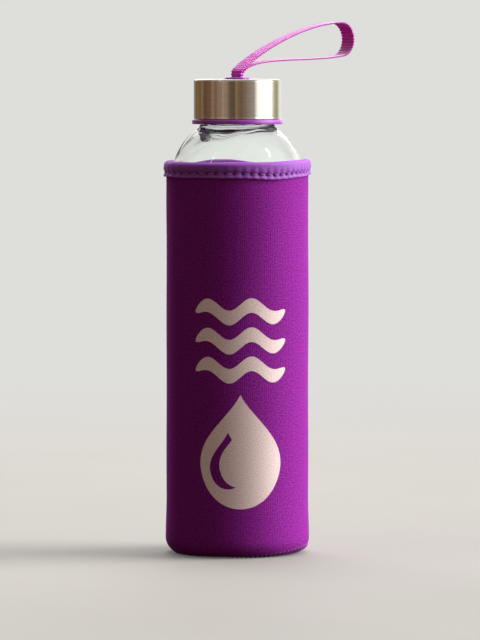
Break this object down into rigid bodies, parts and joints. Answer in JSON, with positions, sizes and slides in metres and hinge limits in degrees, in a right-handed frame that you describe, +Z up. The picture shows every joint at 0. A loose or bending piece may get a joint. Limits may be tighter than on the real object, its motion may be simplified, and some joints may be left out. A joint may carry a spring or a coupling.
{
  "type": "glass water bottle with sleeve",
  "caption": "Straight glass water bottle with a round shoulder in a stitched neoprene sleeve, closed by a steel-covered screw cap with a webbing carry strap.",
  "frame": {"origin": "centre of the sleeve's flat base, on the surface that the bottle stands on", "axes": "+Z up along the bottle's axis, -Y towards the printed front, the carry strap leans over towards +X and +Y"},
  "size_m": [0.0936, 0.0936, 0.2582],
  "materials": {
    "glass": "clear polished borosilicate glass",
    "brushed_steel": "circumferentially brushed stainless steel",
    "cap_plastic": "satin moulded polypropylene, purple",
    "silicone": "translucent silicone",
    "pin_steel": "drawn steel pin",
    "webbing": "ribbed grosgrain polyester ribbon, magenta purple",
    "neoprene": "neoprene foam faced with fine purple jersey",
    "binding_tape": "folded lycra tape, bluish purple",
    "thread": "polyester sewing thread, dark purple"
  },
  "bodies": {
    "sleeve": {"sleeve_panel": "neoprene", "sleeve_base": "neoprene", "sleeve_binding": "binding_tape", "binding_stitching": "thread", "base_stitching": "thread", "side_seam_stitching": "thread"},
    "bottle": {"glass_bottle": "glass"},
    "seal": {"cap_seal": "silicone"},
    "cap": {"cap_cover": "brushed_steel", "cap_liner": "cap_plastic", "strap_grommet": "cap_plastic", "grommet_lock_ring": "cap_plastic", "strap_anchor_pin": "pin_steel", "strap_root": "webbing"},
    "strap": {"carry_strap": "webbing"}
  },
  "joints": [
    {"name": "bottle_slide", "type": "slide", "parent": "sleeve", "child": "bottle", "axis": [0, 0, 1], "range_m": [0, 0.2]},
    {"name": "cap_lift", "type": "slide", "parent": "bottle", "child": "seal", "axis": [0, 0, 1], "range_m": [0, 0.0127]},
    {"name": "cap_turn", "type": "hinge", "parent": "seal", "child": "cap", "pos_m": [0, 0, 0.2], "axis": [0, 0, 1], "range_deg": [0, 1080]},
    {"name": "strap_swing", "type": "hinge", "parent": "cap", "child": "strap", "pos_m": [0, 0, 0.2331], "axis": [0.7071, -0.7071, 0], "range_deg": [-15, 140], "stiffness_Nm_per_rad": 0.01}
  ],
  "couplings": [
    {"joint": "cap_lift", "follows": "cap_turn", "m_per_rad": 0.00066845}
  ]
}
